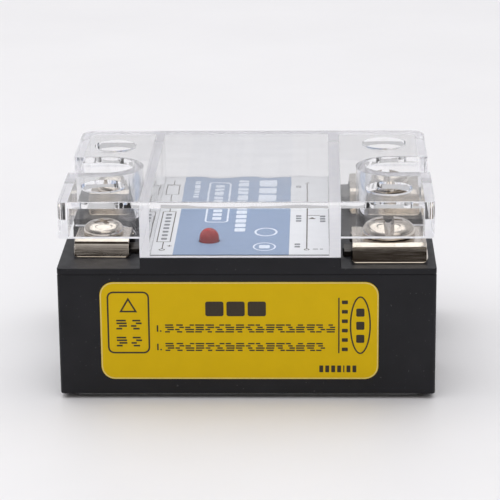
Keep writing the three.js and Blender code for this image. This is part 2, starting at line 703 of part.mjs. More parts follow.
// The cast compound fills the housing's lower part, round the wells, ribs and power stage.
function pottingCompound() {
	const c = POTTING_CLEARANCE;
	const mass = block(-cavityX, -cavityY, plateTop, cavityX, cavityY, pottingTop);
	const low = plateTop - OVERCUT;
	const high = pottingTop + OVERCUT;
	const wells = ENDS.map((side) => endSlot(side, wellOuter + c, low, high));
	const ribs = ribBoxes(low, high, c).map((box) => block(...box));
	const gelPocket = block(substrateStart - c, -substrateY - c, low, substrateEnd + c, substrateY + c,
		substrateTop + GEL_HEIGHT);
	const legs = TERMINALS.filter(({ kind }) => kind === OUTPUT).map(({ kind, place: at }) => {
		const half = kind.legWidth / 2 + c;
		return block(at.legInner - c, at.y - half, low, at.legOuter + c, at.y + half, high);
	});
	const gates = TRACKS.map(({ row }) => {
		const half = GATE_LEAD / 2 + c;
		const y = row * (dieY + DIE_SIZE / 2 - GATE_LEAD);
		return block(gateX - half, y - half, low, gateX + half, y + half, high);
	});
	return cut(mass, [...wells, ...ribs, gelPocket, ...legs, ...gates]);
}

// ---------------------------------------------------------------- circuit board

const inputLegBottom = boardBottom - INPUT_LEG_PROUD;

function circuitBoard() {
	const y = cavityY - BOARD_CLEARANCE;
	const sheet = block(boardStart, -y, boardBottom, boardEnd, y, boardTop);
	const well = endSlot(-1, wellOuter + BOARD_CLEARANCE, boardBottom - OVERCUT, boardTop + OVERCUT);
	const legs = TERMINALS.filter(({ kind }) => kind === INPUT).map(({ kind, place: at }) => {
		const c = SEAT_CLEARANCE;
		const half = kind.legWidth / 2 + c;
		return block(-at.legOuter - c, at.y - half, boardBottom - OVERCUT, -at.legInner + c, at.y + half,
			boardTop + OVERCUT);
	});
	const gates = TRACKS.map(({ row }) => {
		const half = GATE_LEAD / 2 + SEAT_CLEARANCE;
		const centre = row * (dieY + DIE_SIZE / 2 - GATE_LEAD);
		return block(gateX - half, centre - half, boardBottom - OVERCUT, gateX + half, centre + half,
			boardTop + OVERCUT);
	});
	return cut(sheet, [well, ...legs, ...gates]);
}

// Where a component stands along the board.
function alongBoard(part) {
	return part.fromOutput === undefined ? blockStart + part.fromInput : boardEnd - part.fromOutput;
}

// A moulded component standing on the board.
function boardBlock(part) {
	const x = alongBoard(part);
	return block(x - part.length / 2, part.y - part.width / 2, boardTop, x + part.length / 2,
		part.y + part.width / 2, boardTop + part.height);
}

// A small round component lying along Y, held above the board by its two bent leads.
function axialPart(part) {
	const x = alongBoard(part);
	const half = COMPONENT_LEAD / 2;
	const axis = boardTop + part.radius + half;
	const body = new THREE.CylinderGeometry(part.radius, part.radius, part.length, SMALL_ROUND_FACETS);
	body.translate(x, part.y, axis);
	const wire = new THREE.BoxGeometry(COMPONENT_LEAD, part.leadSpan, COMPONENT_LEAD);
	wire.translate(x, part.y, axis);
	const feet = [-1, 1].map((end) => {
		const centre = part.y + end * (part.leadSpan / 2 - half);
		return block(x - half, centre - half, boardTop, x + half, centre + half, axis);
	});
	return join([solidOf(body), solidOf(wire), ...feet]);
}

// A small transistor: a round body with one flat face.
function transistor(part) {
	const x = alongBoard(part);
	const r = TRANSISTOR_RADIUS;
	const top = boardTop + TRANSISTOR_HEIGHT;
	const body = rod(r, x, part.y, boardTop, top, SMALL_ROUND_FACETS);
	const beyondFlat = block(x - r - OVERCUT, part.y - r - OVERCUT, boardTop - OVERCUT, x - TRANSISTOR_FLAT,
		part.y + r + OVERCUT, top + OVERCUT);
	return cut(body, [beyondFlat]);
}

// ---------------------------------------------------------------- assembly

place('base_plate', basePlate(), ALUMINIUM);
place('housing', housing(), BLACK_PLASTIC);
place('housing_lid', housingLid(), BLACK_PLASTIC);
place('clear_cover', clearCover(), CLEAR_PLASTIC);
place('side_label', sideLabel(), YELLOW_FILM);
place('face_label', faceLabel(), BLUE_FILM);
place('indicator_lens', ledLens(), RED_LENS);
place('indicator_lead_left', ledLead(-1), NICKELLED_STEEL);
place('indicator_lead_right', ledLead(1), NICKELLED_STEEL);

for (const terminal of TERMINALS) {
	const legBottom = terminal.kind === OUTPUT ? trackTop : inputLegBottom;
	place(terminal.name + '_contact', contactStrip(terminal, legBottom), BRASS);
	place(terminal.name + '_clamp', clampPlate(terminal), NICKELLED_STEEL);
	place(terminal.name + '_screw', terminalScrew(terminal), NICKELLED_STEEL);
	place(terminal.name + '_nut', squareNut(terminal), BRASS);
}

place('ceramic_substrate', ceramicSubstrate(), CERAMIC);
for (const { name, row } of TRACKS) {
	place('copper_track_' + name, copperTrack(row), COPPER);
	place('thyristor_' + name, thyristor(row), SILICON);
	place('copper_clip_' + name, copperClip(row), COPPER);
	place('gate_lead_' + name, gateLead(row), NICKELLED_STEEL);
}
place('potting_compound', pottingCompound(), EPOXY);

place('circuit_board', circuitBoard(), GREEN_BOARD);
place('optocoupler', boardBlock(OPTOCOUPLER), CHIP_BLACK);
place('snubber_capacitor', boardBlock(SNUBBER_CAPACITOR), CAPACITOR_RED);
place('snubber_resistor', axialPart(SNUBBER_RESISTOR), RESISTOR_BLUE);
place('input_resistor', axialPart(INPUT_RESISTOR), RESISTOR_BLUE);
place('input_diode', axialPart(INPUT_DIODE), DIODE_GLASS);
place('input_transistor_outer', transistor(OUTER_TRANSISTOR), CHIP_BLACK);
place('input_transistor_inner', transistor(INNER_TRANSISTOR), CHIP_BLACK);

export default relay;
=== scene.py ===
import json
import math

import bmesh
import bpy
from mathutils import Matrix, Vector


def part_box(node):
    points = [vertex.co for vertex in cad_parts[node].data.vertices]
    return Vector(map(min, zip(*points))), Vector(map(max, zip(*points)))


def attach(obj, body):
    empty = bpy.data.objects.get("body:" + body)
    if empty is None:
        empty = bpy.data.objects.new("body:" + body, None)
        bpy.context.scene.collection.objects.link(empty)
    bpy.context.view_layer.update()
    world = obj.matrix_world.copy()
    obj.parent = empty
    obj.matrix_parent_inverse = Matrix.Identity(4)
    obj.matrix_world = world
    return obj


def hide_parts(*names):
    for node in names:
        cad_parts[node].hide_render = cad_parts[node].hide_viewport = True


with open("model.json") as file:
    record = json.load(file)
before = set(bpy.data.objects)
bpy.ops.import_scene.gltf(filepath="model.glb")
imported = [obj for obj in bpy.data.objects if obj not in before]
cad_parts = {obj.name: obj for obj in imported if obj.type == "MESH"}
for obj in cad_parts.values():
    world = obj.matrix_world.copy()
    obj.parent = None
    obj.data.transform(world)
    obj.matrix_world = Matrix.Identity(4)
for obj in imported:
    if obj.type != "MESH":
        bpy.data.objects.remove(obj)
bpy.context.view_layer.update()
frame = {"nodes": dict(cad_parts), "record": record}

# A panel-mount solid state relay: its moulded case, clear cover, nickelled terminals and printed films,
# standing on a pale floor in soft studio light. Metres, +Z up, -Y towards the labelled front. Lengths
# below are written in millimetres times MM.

MM = 0.001
TERMINALS = ("input_front", "input_back", "output_front", "output_back")
BODY = "relay_body"

# ------------------------------------------------------------------ materials


class Finish:
    """One material's nodes, all reading Object coordinates."""

    def __init__(self, name):
        self.material = bpy.data.materials.new(name)
        self.material.use_nodes = True
        self.tree = self.material.node_tree
        self.tree.nodes.clear()
        self.output = self.tree.nodes.new("ShaderNodeOutputMaterial")
        self.shader = self.tree.nodes.new("ShaderNodeBsdfPrincipled")
        self.join(self.shader.outputs["BSDF"], self.output.inputs["Surface"])
        self.place = self.tree.nodes.new("ShaderNodeTexCoord").outputs["Object"]

    def join(self, source, target):
        self.tree.links.new(source, target)

    def set(self, **values):
        """Constants on the shader's own sockets."""
        for name, value in values.items():
            self.shader.inputs[name.replace("_", " ")].default_value = value
        return self

    def speckle(self, size, detail=4.0, stretch=(1, 1, 1), harshness=0.5):
        """A noise whose features are about size mm across, drawn out along an axis by a small stretch."""
        mapping = self.tree.nodes.new("ShaderNodeMapping")
        mapping.inputs["Scale"].default_value = stretch
        self.join(self.place, mapping.inputs["Vector"])
        noise = self.tree.nodes.new("ShaderNodeTexNoise")
        noise.inputs["Scale"].default_value = 1 / (size * MM)
        noise.inputs["Detail"].default_value = detail
        noise.inputs["Roughness"].default_value = harshness
        self.join(mapping.outputs["Vector"], noise.inputs["Vector"])
        return noise.outputs["Fac"]

    def axis(self, letter):
        """One coordinate of the surface point, in metres."""
        split = self.tree.nodes.new("ShaderNodeSeparateXYZ")
        self.join(self.place, split.inputs["Vector"])
        return split.outputs[letter]

    def fit(self, value, low, high, start=0.3, end=0.7):
        """value between start and end, turned into a number between low and high."""
        ranged = self.tree.nodes.new("ShaderNodeMapRange")
        for name, number in (("From Min", start), ("From Max", end), ("To Min", low), ("To Max", high)):
            ranged.inputs[name].default_value = number
        self.join(value, ranged.inputs["Value"])
        return ranged.outputs["Result"]

    def mix(self, factor, first, second):
        """A colour between two, each a colour or another mix."""
        mixed = self.tree.nodes.new("ShaderNodeMix")
        mixed.data_type = "RGBA"
        self.join(factor, mixed.inputs["Factor"])
        for name, colour in (("A", first), ("B", second)):
            socket = next(s for s in mixed.inputs if s.name == name and s.type == "RGBA")
            if isinstance(colour, bpy.types.NodeSocket):
                self.join(colour, socket)
            else:
                socket.default_value = (*colour, 1)
        return next(s for s in mixed.outputs if s.type == "RGBA")

    def within(self, letter, low, high):
        """1 where a coordinate lies between two places in mm, 0 elsewhere."""
        value = self.axis(letter)
        above = self.compare(value, "GREATER_THAN", low * MM)
        below = self.compare(value, "LESS_THAN", high * MM)
        both = self.tree.nodes.new("ShaderNodeMath")
        both.operation = "MULTIPLY"
        self.join(above, both.inputs[0])
        self.join(below, both.inputs[1])
        return both.outputs[0]

    def compare(self, value, operation, limit):
        node = self.tree.nodes.new("ShaderNodeMath")
        node.operation = operation
        self.join(value, node.inputs[0])
        node.inputs[1].default_value = limit
        return node.outputs[0]

    def colour(self, source):
        self.join(source, self.shader.inputs["Base Color"])
        return self

    def roughness(self, source):
        self.join(source, self.shader.inputs["Roughness"])
        return self

    def relief(self, value, height, strength=1.0, under=None):
        """Bumps height mm high, on top of an earlier relief."""
        bump = self.tree.nodes.new("ShaderNodeBump")
        bump.inputs["Strength"].default_value = strength
        bump.inputs["Distance"].default_value = height * MM
        self.join(value, bump.inputs["Height"])
        if under is not None:
            self.join(under, bump.inputs["Normal"])
        self.join(bump.outputs["Normal"], self.shader.inputs["Normal"])
        return bump.outputs["Normal"]


def satin_black():
    """Black moulding: a fine spark-eroded grain, a faint sheen that varies, a little dust."""
    surface = Finish("satin_black_moulding").set(IOR=1.5, Specular_IOR_Level=0.26)
    mottle = surface.speckle(6.0, detail=3)
    body = surface.mix(surface.fit(mottle, 0, 1), (0.0090, 0.0092, 0.0120), (0.0130, 0.0132, 0.0170))
    dust = surface.fit(surface.speckle(0.5, detail=1), 0, 0.6, 0.70, 0.76)
    surface.colour(surface.mix(dust, body, (0.075, 0.075, 0.08)))
    surface.roughness(surface.fit(surface.speckle(2.5), 0.36, 0.46))
    surface.relief(surface.speckle(0.16, detail=2), 0.006, 0.5)
    return surface.material


def clear_moulding():
    """Clear polystyrene. It bends and mirrors light, and lets the lamps' light through to what is inside."""
    surface = Finish("clear_moulding")
    surface.set(Base_Color=(0.993, 0.994, 1.0, 1), Roughness=0.012, IOR=1.5, Transmission_Weight=1.0)
    ripple = surface.relief(surface.speckle(8.0, detail=1), 0.036, 0.8)
    surface.relief(surface.speckle(0.9, detail=1), 0.0008, 0.5, under=ripple)
    lamp_ray = surface.tree.nodes.new("ShaderNodeLightPath").outputs["Is Shadow Ray"]
    passed = surface.tree.nodes.new("ShaderNodeBsdfTransparent")
    passed.inputs["Color"].default_value = (0.93, 0.93, 0.94, 1)
    chosen = surface.tree.nodes.new("ShaderNodeMixShader")
    surface.join(lamp_ray, chosen.inputs["Fac"])
    surface.join(surface.shader.outputs["BSDF"], chosen.inputs[1])
    surface.join(passed.outputs["BSDF"], chosen.inputs[2])
    surface.join(chosen.outputs["Shader"], surface.output.inputs["Surface"])
    return surface.material


def frosted_edge():
    """The cover's lower edges, left matt by the mould: they scatter the light that runs down the walls."""
    surface = Finish("frosted_edge").set(IOR=1.5, Transmission_Weight=0.25)
    cloud = surface.fit(surface.speckle(1.2), 0, 1)
    surface.colour(surface.mix(cloud, (0.90, 0.895, 0.955), (0.955, 0.95, 0.98)))
    surface.roughness(surface.fit(surface.speckle(0.3), 0.45, 0.6))
    surface.relief(surface.speckle(0.12, detail=2), 0.01, 0.5)
    return surface.material


def metal(name, bright, dull, rough_low, rough_high, line_size, stretch, depth):
    """A plated or bare metal with drawn or rolled lines and a slight tarnish."""
    surface = Finish(name).set(Metallic=1.0)
    tarnish = surface.speckle(2.2, detail=5, harshness=0.6)
    surface.colour(surface.mix(surface.fit(tarnish, 0, 1), bright, dull))
    lines = surface.speckle(line_size, detail=3, stretch=stretch)
    surface.roughness(surface.fit(lines, rough_low, rough_high))
    surface.relief(lines, depth, 0.6)
    return surface.material


def film(name, colour, stripe=None):
    """Printed film with a faint paper-like unevenness. A stripe is (axis, low mm, high mm, colour)."""
    surface = Finish(name).set(IOR=1.45, Specular_IOR_Level=0.2)
    uneven = surface.fit(surface.speckle(3.0, detail=4), 0, 1)
    paper = surface.mix(uneven, [c * 0.96 for c in colour], colour)
    if stripe:
        letter, low, high, ink = stripe
        tinted = surface.mix(uneven, [c * 0.95 for c in ink], ink)
        paper = surface.mix(surface.within(letter, low, high), paper, tinted)
    surface.colour(paper)
    surface.roughness(surface.fit(surface.speckle(0.8), 0.38, 0.5))
    surface.relief(surface.speckle(0.35, detail=2), 0.002, 0.4)
    return surface.material


def ink(name, colour, roughness=0.5):
    """Screen-printed ink, its density slightly uneven."""
    surface = Finish(name)
    uneven = surface.fit(surface.speckle(0.5, detail=3), 0, 1)
    surface.colour(surface.mix(uneven, [c * 0.85 for c in colour], colour))
    surface.roughness(surface.fit(surface.speckle(0.3), roughness - 0.06, roughness + 0.06))
    return surface.material


def red_dome():
    """Red diffused resin: it lets some light in, and small swirls show in it."""
    surface = Finish("red_resin").set(IOR=1.45, Transmission_Weight=0.15, Specular_IOR_Level=0.35)
    swirl = surface.fit(surface.speckle(0.7, detail=3), 0, 1)
    surface.colour(surface.mix(swirl, (0.26, 0.006, 0.009), (0.40, 0.016, 0.018)))
    surface.roughness(surface.fit(surface.speckle(0.4), 0.10, 0.18))
    surface.relief(surface.speckle(0.5, detail=1), 0.004, 0.4)
    return surface.material


def plain(name, light, dark, size, roughness, metallic=0.0, bump=0.003):
    """A hidden part's finish: two close shades over a noise, with a slight relief."""
    surface = Finish(name).set(Metallic=metallic)
    pattern = surface.speckle(size, detail=4)
    surface.colour(surface.mix(surface.fit(pattern, 0, 1), light, dark))
    surface.roughness(surface.fit(surface.speckle(size / 2), roughness - 0.06, roughness + 0.06))
    surface.relief(pattern, bump, 0.5)
    return surface.material


NICKEL_WARM = (0.74, 0.68, 0.60)
NICKEL_DULL = (0.60, 0.545, 0.47)
BLUE_BAND = ("X", -11.7, 6.7, (0.225, 0.305, 0.455))

LOOKS = {
    "base_metal": metal("milled_aluminium", (0.72, 0.73, 0.75), (0.60, 0.61, 0.63), 0.28, 0.42,
                        line_size=0.5, stretch=(0.05, 1, 1), depth=0.004),
    "case_plastic": satin_black(),
    "clear_plastic": clear_moulding(),
    "side_print": film("yellow_film", (0.78, 0.52, 0.0)),
    "face_print": film("blue_and_white_film", (0.70, 0.71, 0.735), BLUE_BAND),
    "red_lens": red_dome(),
    "nickel_plate": metal("rolled_nickel_plate", NICKEL_WARM, NICKEL_DULL, 0.09, 0.17,
                          line_size=0.25, stretch=(0.06, 1, 1), depth=0.0025),
    "nickel_screw": metal("turned_nickel", (0.70, 0.645, 0.575), (0.55, 0.50, 0.44), 0.10, 0.2,
                          line_size=0.3, stretch=(1, 1, 1), depth=0.002),
    # Painted shade: the contact strips are coloured nearly black instead of brass, because the parts of them
    # that show lie in shadow in their slots under the clamps.
    "contact_brass": metal("brass_darkened_as_painted_shade", (0.095, 0.085, 0.075), (0.06, 0.055, 0.05), 0.34, 0.48,
                           line_size=0.4, stretch=(0.1, 1, 1), depth=0.003),
    "tinned_wire": metal("tinned_wire", (0.70, 0.70, 0.70), (0.58, 0.58, 0.58), 0.25, 0.35,
                         line_size=0.4, stretch=(1, 1, 0.1), depth=0.002),
    "copper": metal("rolled_copper", (0.80, 0.42, 0.26), (0.62, 0.30, 0.18), 0.25, 0.4,
                    line_size=0.4, stretch=(0.1, 1, 1), depth=0.003),
    "ceramic": plain("white_alumina", (0.82, 0.81, 0.78), (0.74, 0.73, 0.70), 0.6, 0.6),
    "silicon": plain("polished_silicon", (0.10, 0.105, 0.12), (0.07, 0.075, 0.09), 1.5, 0.2, 0.5, 0.001),
    "epoxy": plain("cast_black_epoxy", (0.02, 0.02, 0.023), (0.03, 0.03, 0.034), 3.0, 0.4, 0, 0.02),
    "board_laminate": plain("green_laminate", (0.02, 0.16, 0.06), (0.015, 0.11, 0.045), 1.2, 0.3, 0, 0.004),
    "chip_plastic": plain("black_chip_moulding", (0.02, 0.02, 0.02), (0.03, 0.03, 0.03), 0.3, 0.5),
    "capacitor_coat": plain("dipped_red_coat", (0.35, 0.05, 0.03), (0.26, 0.035, 0.02), 1.5, 0.3, 0, 0.02),
    "resistor_coat": plain("blue_lacquer", (0.10, 0.26, 0.42), (0.08, 0.20, 0.34), 0.8, 0.3),
    "diode_coat": plain("amber_glass", (0.35, 0.10, 0.03), (0.25, 0.06, 0.02), 0.8, 0.15),
}
DARK_INK = ink("dark_ink", (0.035, 0.022, 0.006))
SOFT_INK = ink("brown_ink", (0.028, 0.018, 0.004))
FROSTED = frosted_edge()
PALE_INK = ink("pale_yellow_ink", (0.86, 0.70, 0.24))
WHITE_INK = ink("white_ink", (0.72, 0.78, 0.88))
FAINT_INK = ink("grey_ink", (0.16, 0.17, 0.19))

# ------------------------------------------------------------------ shaping

SHADE_SHARP = math.radians(42)


def make_piece(name, shape, look, body):
    """Turns a shape into a finished piece that rides on a body."""
    mesh = bpy.data.meshes.new(name)
    shape.to_mesh(mesh)
    shape.free()
    mesh.materials.append(look)
    for face in mesh.polygons:
        face.use_smooth = True
    mesh.set_sharp_from_angle(angle=SHADE_SHARP)
    piece = bpy.data.objects.new(name, mesh)
    bpy.context.scene.collection.objects.link(piece)
    even = piece.modifiers.new("even_shading", "WEIGHTED_NORMAL")
    even.keep_sharp = True
    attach(piece, body)
    return piece


def copied(node):
    """A CAD node's shape with its triangles merged back into whole faces."""
    shape = bmesh.new()
    shape.from_mesh(frame["nodes"][node].data)
    bmesh.ops.remove_doubles(shape, verts=shape.verts, dist=0.002 * MM)
    bmesh.ops.dissolve_limit(shape, angle_limit=math.radians(1), verts=shape.verts, edges=shape.edges)
    return shape


def bevel_edges(shape, edges, width, segments):
    bmesh.ops.bevel(shape, geom=edges, offset=width * MM, offset_type="OFFSET", affect="EDGES",
                    segments=segments, profile=0.5, clamp_overlap=True, material=-1)


def soften(shape, width, segments=2, least=38):
    """Rounds every edge sharper than an angle, by a radius in mm."""
    sharp = [e for e in shape.edges if len(e.link_faces) == 2 and e.calc_face_angle() > math.radians(least)]
    bevel_edges(shape, sharp, width, segments)


def round_corners(shape, corners, radius, segments=8):
    bmesh.ops.bevel(shape, geom=corners, offset=radius * MM, affect="VERTICES", segments=segments,
                    profile=0.5, material=-1, clamp_overlap=True)


def sheet_face(shape, place):
    """One unit square face, set in place by a matrix."""
    return bmesh.ops.create_grid(shape, x_segments=1, y_segments=1, size=0.5, matrix=place)["verts"]


def thicken(shape, height):
    """Gives flat faces a thickness in metres, up from where they lie."""
    made = bmesh.ops.extrude_face_region(shape, geom=shape.faces[:], use_keep_orig=True)["geom"]
    top = [v for v in made if isinstance(v, bmesh.types.BMVert)]
    bmesh.ops.translate(shape, verts=top, vec=(0, 0, height))


def upright_axis(node):
    """Where a turned node's axis meets the floor."""
    low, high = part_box(node)
    return Vector(((low.x + high.x) / 2, (low.y + high.y) / 2, 0))


def turned(shape, outline, centre, steps):
    """Spins an outline of (radius, height) points in mm about an upright axis through centre."""
    points = [shape.verts.new((centre.x + r * MM, centre.y, z)) for r, z in outline]
    edges = [shape.edges.new(pair) for pair in zip(points, points[1:])]
    bmesh.ops.spin(shape, geom=points + edges, cent=centre, axis=(0, 0, 1), angle=math.tau, steps=steps,
                   use_merge=True, dvec=(0, 0, 0))
    bmesh.ops.remove_doubles(shape, verts=shape.verts, dist=0.001 * MM)
    bmesh.ops.recalc_face_normals(shape, faces=shape.faces)


def carved(shape, tool):
    """shape with tool cut out of it."""
    block = bpy.data.objects.new("block", bpy.data.meshes.new("block"))
    cutter = bpy.data.objects.new("cutter", bpy.data.meshes.new("cutter"))
    shape.to_mesh(block.data)
    tool.to_mesh(cutter.data)
    for thing in (block, cutter):
        bpy.context.scene.collection.objects.link(thing)
    cut = block.modifiers.new("cut", "BOOLEAN")
    cut.operation = "DIFFERENCE"
    cut.solver = "EXACT"
    cut.object = cutter
    bpy.context.view_layer.update()
    result = block.evaluated_get(bpy.context.evaluated_depsgraph_get()).to_mesh()
    shape.clear()
    shape.from_mesh(result)
    tool.free()
    bpy.data.objects.remove(block)
    bpy.data.objects.remove(cutter)


# ------------------------------------------------------------------ case, plate and cover

HOUSING_EDGE = 0.22
LID_EDGE = 0.28
PLATE_EDGE = 0.25
COVER_EDGE = 0.28
STRIP_EDGE = 0.12
COVER_FEET = (20.9, 23.6)  # levels on which the cover stands, mm
COVER_GAP = 0.06  # air under them, mm
LEVEL_TOLERANCE = 0.01  # mm
SKIRT_BOTTOM = 27.0  # no wall of the cover ends higher than this, mm


def moulded(name, node, edge, body, slot, segments=2, gap=0.0):
    """A piece that keeps its CAD node's shape and has its edges rounded, with a gap in mm under its feet."""
    shape = copied(node)
    for vertex in shape.verts:
        if gap and min(abs(vertex.co.z - foot * MM) for foot in COVER_FEET) < LEVEL_TOLERANCE * MM:
            vertex.co.z += gap * MM
    soften(shape, edge, segments)
    piece = make_piece(name, shape, LOOKS[slot], body)
    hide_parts(node)
    return piece


moulded("case_shell", "housing", HOUSING_EDGE, BODY, "case_plastic")
moulded("case_lid", "housing_lid", LID_EDGE, BODY, "case_plastic")
moulded("mounting_plate", "base_plate", PLATE_EDGE, BODY, "base_metal")
terminal_cover = moulded("terminal_cover", "clear_cover", COVER_EDGE, "cover", "clear_plastic", 3, COVER_GAP)
terminal_cover.data.materials.append(FROSTED)
for face in terminal_cover.data.polygons:
    if face.normal.z < -0.2 and face.center.z < SKIRT_BOTTOM * MM:
        face.material_index = 1

# ------------------------------------------------------------------ terminals

CLAMP_BEND = 1.0  # outer radius of the folds
CLAMP_STOCK = 0.9
CLAMP_CORNER = 0.55
CLAMP_BEND_STEPS = 10
CLAMP_EDGE = 0.12
CLAMP_RIM = 0.24
CLAMP_DISH = 0.09  # depth of the flange inside its rim
FLARE = {"input": 0.5, "output": 0.62}  # how far a flange's foot leans out
CLAMP_TURN = {"input_front": -1.2, "input_back": 1.2, "output_front": 0.3, "output_back": -0.4}  # degrees


def bridge_clamp(terminal):
    """A strip bent down at the front and the back. The flanges flare a little and have a raised rim."""
    low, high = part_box(terminal + "_clamp")
    flare = FLARE[terminal.split("_")[0]] * MM
    shape = bmesh.new()
    middle = Vector(((low.x + high.x) / 2, (low.y + high.y) / 2, high.z))
    size = Matrix.Diagonal((high.x - low.x, high.y - low.y - 2 * flare, 1, 1))
    sheet_face(shape, Matrix.Translation(middle) @ size)
    folds = [e for e in shape.edges if abs(e.verts[0].co.y - e.verts[1].co.y) < 0.1 * MM]
    flanges = bmesh.ops.extrude_edge_only(shape, edges=folds)["geom"]
    feet = [v for v in flanges if isinstance(v, bmesh.types.BMVert)]
    for foot in feet:
        foot.co += Vector((0, math.copysign(flare, foot.co.y - middle.y), low.z - high.z))
    round_corners(shape, feet, CLAMP_CORNER, 5)
    bends = [e for e in shape.edges if len(e.link_faces) == 2]
    bevel_edges(shape, bends, CLAMP_BEND, CLAMP_BEND_STEPS)
    bmesh.ops.recalc_face_normals(shape, faces=shape.faces)
    top = max(shape.faces, key=lambda f: f.calc_area())
    if top.normal.z < 0:
        bmesh.ops.reverse_faces(shape, faces=shape.faces)
    flanges = sorted((f for f in shape.faces if abs(f.normal.z) < 0.5), key=lambda f: f.calc_area())[-2:]
    for flange in flanges:
        bmesh.ops.inset_region(shape, faces=[flange], thickness=CLAMP_RIM * MM, depth=-CLAMP_DISH * MM,
                               use_boundary=True, use_even_offset=True)
    bmesh.ops.solidify(shape, geom=shape.faces, thickness=CLAMP_STOCK * MM)
    bmesh.ops.recalc_face_normals(shape, faces=shape.faces)
    for vertex in shape.verts:  # keeps the leaning stock's inner edge off the bay floor
        vertex.co.z = max(vertex.co.z, low.z)
    soften(shape, CLAMP_EDGE, 2, 60)
    turn = Matrix.Rotation(math.radians(CLAMP_TURN[terminal]), 3, "Z")
    bmesh.ops.rotate(shape, cent=middle, matrix=turn, verts=shape.verts)
    piece = make_piece(terminal + "_bridge", shape, LOOKS["nickel_plate"], terminal + "_clamp")
    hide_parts(terminal + "_clamp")


HEAD_STEPS = 56
CROSS_WIDTH = 1.0
CROSS_DEPTH = 1.3
SLOT_WIDTH = 2.15
SLOT_DEPTH = 1.85
RECESS_TURN = {"input_front": 28, "input_back": -17, "output_front": 0, "output_back": 0}  # degrees
RECESS_SHARE = 0.64  # of the head's radius
RECESS_TAPER = (0.62, 0.6)  # an arm's foot, as shares of its length and width
SLOT_KEEL = 0.29  # rounding of the open slot's bottom, as a share of the slot
THREADS = {"input": (1.5, 0.5), "output": (2.0, 0.7)}  # radius and pitch
THREAD_DEPTH = 0.14  # share of the screw's radius
SCREW_TIP = 0.5  # plain length below the thread
TIP_SHARE = 0.8  # radius of the tip, as a share of the thread's root
HEAD_SIDE = ((0.92, 0.0), (0.985, 0.06), (1.0, 0.14), (1.0, 0.26))  # shares of the head's radius and height
CROWN_FLAT = 0.36  # share of the radius
CROWN_BASE, CROWN_RISE = 0.26, 0.72  # shares of the height
CROWN_FULLNESS = 0.9


def head_outline(radius, base, height):
    """The pan head's side and crown, from its seat to the middle of its top."""
    points = [(radius * out, base + up * height) for out, up in HEAD_SIDE]
    for step in range(1, 10):
        angle = math.radians(step * 10)
        across = CROWN_FLAT + (1 - CROWN_FLAT) * math.cos(angle)
        up = CROWN_BASE + CROWN_RISE * math.sin(angle) ** CROWN_FULLNESS
        points.append((radius * across, base + height * up))
    points.append((0, base + height))
    return points


def recess_arm(centre, top, reach, width, depth, turn, open_ended):
    """One tapered arm of the recess, to be cut out of a screw's head."""
    arm = bmesh.new()
    corners = bmesh.ops.create_cube(arm, size=1)["verts"]
    foot = [v for v in corners if v.co.z < 0]
    along, across = RECESS_TAPER
    bmesh.ops.scale(arm, vec=(1.0 if open_ended else along, across, 1), verts=foot)
    if open_ended:
        bottom = [e for e in arm.edges if all(v in foot for v in e.verts)]
        keel = [e for e in bottom if abs(e.verts[0].co.x - e.verts[1].co.x) > 0.5]
        bmesh.ops.bevel(arm, geom=keel, offset=SLOT_KEEL, offset_type="OFFSET", affect="EDGES", segments=4,
                        profile=0.5, clamp_overlap=True, material=-1)
    size = Matrix.Diagonal((2 * reach * MM, width * MM, 2 * depth * MM, 1))
    place = Matrix.Translation((centre.x, centre.y, top)) @ Matrix.Rotation(math.radians(turn), 4, "Z")
    bmesh.ops.transform(arm, matrix=place @ size, verts=arm.verts)
    return arm


def pan_screw(terminal):
    """A turned screw: threaded shank, pan head and driving recess."""
    low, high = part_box(terminal + "_screw")
    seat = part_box(terminal + "_clamp")[1].z
    centre = upright_axis(terminal + "_screw")
    slotted = terminal.startswith("output")
    radius = (high.x - low.x) / 2 / MM
    shank, pitch = THREADS[terminal.split("_")[0]]
    root = shank * (1 - THREAD_DEPTH)
    outline = [(0, low.z), (root * TIP_SHARE, low.z)]
    height = low.z + SCREW_TIP * MM
    while height < seat - pitch * MM:
        outline += [(root, height), (shank, height + pitch / 2 * MM)]
        height += pitch * MM
    outline += [(root, height), (root, seat)]
    outline += head_outline(radius, seat, high.z - seat)
    shape = bmesh.new()
    turned(shape, outline, centre, HEAD_STEPS)
    reach = radius * RECESS_SHARE
    turn = RECESS_TURN[terminal]
    carved(shape, recess_arm(centre, high.z, reach, CROSS_WIDTH, CROSS_DEPTH, turn, False))
    if slotted:
        carved(shape, recess_arm(centre, high.z, radius + 1, SLOT_WIDTH, SLOT_DEPTH, turn + 90, True))
    else:
        carved(shape, recess_arm(centre, high.z, reach, CROSS_WIDTH, CROSS_DEPTH, turn + 90, False))
    piece = make_piece(terminal + "_pan_screw", shape, LOOKS["nickel_screw"], terminal + "_screw")
    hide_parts(terminal + "_screw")


for terminal in TERMINALS:
    bridge_clamp(terminal)
    pan_screw(terminal)
    moulded(terminal + "_strip", terminal + "_contact", STRIP_EDGE, BODY, "contact_brass")

# ------------------------------------------------------------------ indicator

LED_RADIUS = 1.6
LED_FLANGE_HEIGHT = 1.0
LED_CHAMFER = 0.1
LED_STEPS = 40


def indicator():
    """A red dome on a flange whose edges are chamfered."""
    low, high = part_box("indicator_lens")
    centre = upright_axis("indicator_lens")
    flange = (high.x - low.x) / 2 / MM
    rise = LED_FLANGE_HEIGHT * MM
    shoulder = high.z - LED_RADIUS * MM
    inset, step_up = flange - LED_CHAMFER, LED_CHAMFER * MM
    outline = [(0, low.z), (inset, low.z), (flange, low.z + step_up), (flange, low.z + rise - step_up),
               (inset, low.z + rise), (LED_RADIUS, low.z + rise)]
    for step in range(13):
        angle = math.radians(step * 7.5)
        outline.append((LED_RADIUS * math.cos(angle), shoulder + LED_RADIUS * MM * math.sin(angle)))
    shape = bmesh.new()
    turned(shape, outline, centre, LED_STEPS)
    piece = make_piece("indicator_dome", shape, LOOKS["red_lens"], BODY)
    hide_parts("indicator_lens")


indicator()

# ------------------------------------------------------------------ printed films

